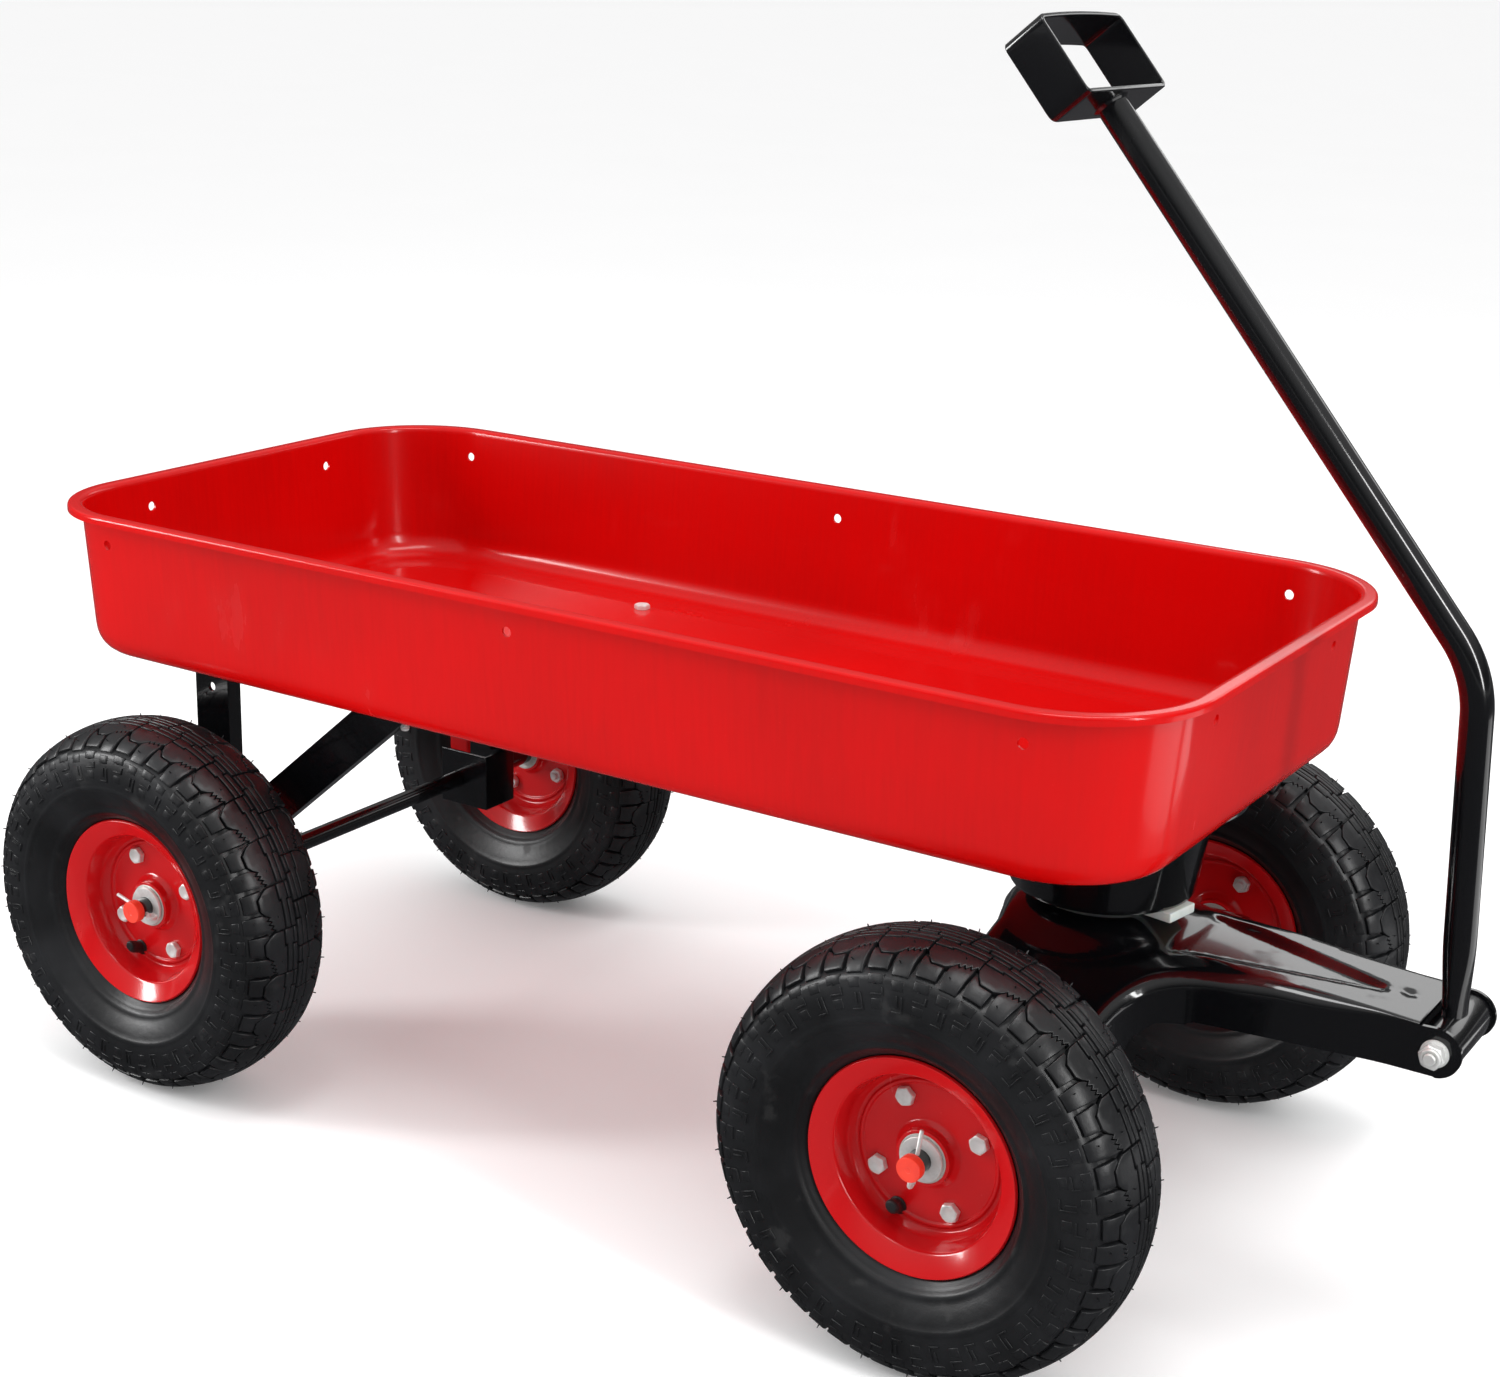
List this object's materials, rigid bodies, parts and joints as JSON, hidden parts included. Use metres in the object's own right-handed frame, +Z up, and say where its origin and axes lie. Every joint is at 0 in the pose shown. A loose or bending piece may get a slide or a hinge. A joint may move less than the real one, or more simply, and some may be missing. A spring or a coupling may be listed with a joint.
{
  "type": "pull wagon",
  "caption": "Pull wagon with a deep red steel tray, pneumatic wheels, a pressed steering yoke that turns under the front, and a bent tube pull handle with a loop grip.",
  "frame": {"origin": "on the ground, under the middle of the wagon's overall box", "axes": "+X forward towards the pull handle, +Y to the wagon's left, +Z up"},
  "size_m": [0.947, 0.482, 0.7183],
  "materials": {
    "red_enamel": "gloss baked enamel, bright red",
    "red_rim_enamel": "gloss enamel, bright red",
    "black_enamel": "gloss black powder coat",
    "tyre_rubber": "black rubber",
    "black_rubber": "matt black rubber",
    "red_plastic": "gloss orange-red plastic",
    "white_nylon": "satin white nylon",
    "bearing_steel": "ground steel",
    "zinc_steel": "bright zinc plate"
  },
  "bodies": {
    "chassis": {"tray": "red_enamel", "front_bolster": "black_enamel", "bolster_bolts": "zinc_steel", "bolster_nuts": "zinc_steel", "steering_bearing_pad": "white_nylon", "kingpin": "zinc_steel", "kingpin_nut": "zinc_steel", "brace_bolts": "zinc_steel", "brace_nuts": "zinc_steel", "rear_axle": "black_enamel", "rear_axle_spacers": "black_enamel", "rear_hub_washers": "zinc_steel", "rear_split_pins": "zinc_steel", "rear_axle_caps": "red_plastic", "axle_shoe_left": "black_enamel", "axle_shoe_right": "black_enamel", "rear_brace_left": "black_enamel", "rear_brace_right": "black_enamel", "rear_leg_left": "black_enamel", "rear_leg_right": "black_enamel"},
    "steering": {"steering_yoke": "black_enamel", "front_axle": "black_enamel", "front_axle_spacers": "black_enamel", "front_hub_washers": "zinc_steel", "front_split_pins": "zinc_steel", "front_axle_caps": "red_plastic", "handle_pivot_bolt": "zinc_steel", "handle_pivot_washer": "zinc_steel", "handle_pivot_nut": "zinc_steel"},
    "handle": {"handle_tube": "black_enamel", "handle_sleeve": "black_enamel", "handle_grip": "black_enamel"},
    "rear_right_wheel": {"rear_right_bearings": "bearing_steel", "rear_right_rim_bolts": "zinc_steel", "rear_right_rim_inner": "red_rim_enamel", "rear_right_rim_nuts": "zinc_steel", "rear_right_rim_outer": "red_rim_enamel", "rear_right_tyre": "tyre_rubber", "rear_right_valve": "black_rubber"},
    "rear_left_wheel": {"rear_left_bearings": "bearing_steel", "rear_left_rim_bolts": "zinc_steel", "rear_left_rim_inner": "red_rim_enamel", "rear_left_rim_nuts": "zinc_steel", "rear_left_rim_outer": "red_rim_enamel", "rear_left_tyre": "tyre_rubber", "rear_left_valve": "black_rubber"},
    "front_right_wheel": {"front_right_bearings": "bearing_steel", "front_right_rim_bolts": "zinc_steel", "front_right_rim_inner": "red_rim_enamel", "front_right_rim_nuts": "zinc_steel", "front_right_rim_outer": "red_rim_enamel", "front_right_tyre": "tyre_rubber", "front_right_valve": "black_rubber"},
    "front_left_wheel": {"front_left_bearings": "bearing_steel", "front_left_rim_bolts": "zinc_steel", "front_left_rim_inner": "red_rim_enamel", "front_left_rim_nuts": "zinc_steel", "front_left_rim_outer": "red_rim_enamel", "front_left_tyre": "tyre_rubber", "front_left_valve": "black_rubber"}
  },
  "joints": [
    {"name": "steering_turn", "type": "hinge", "parent": "chassis", "child": "steering", "pos_m": [0.2435, 0, 0.2126], "axis": [0, 0, 1], "range_deg": [-45, 45]},
    {"name": "handle_swing", "type": "hinge", "parent": "steering", "child": "handle", "pos_m": [0.459, 0, 0.1815], "axis": [0, 1, 0], "range_deg": [0, 125]},
    {"name": "rear_right_spin", "type": "hinge", "parent": "chassis", "child": "rear_right_wheel", "pos_m": [-0.3465, -0.203, 0.127], "axis": [0, 1, 0], "continuous": true},
    {"name": "rear_left_spin", "type": "hinge", "parent": "chassis", "child": "rear_left_wheel", "pos_m": [-0.3465, 0.203, 0.127], "axis": [0, 1, 0], "continuous": true},
    {"name": "front_right_spin", "type": "hinge", "parent": "steering", "child": "front_right_wheel", "pos_m": [0.2435, -0.203, 0.127], "axis": [0, 1, 0], "continuous": true},
    {"name": "front_left_spin", "type": "hinge", "parent": "steering", "child": "front_left_wheel", "pos_m": [0.2435, 0.203, 0.127], "axis": [0, 1, 0], "continuous": true}
  ]
}
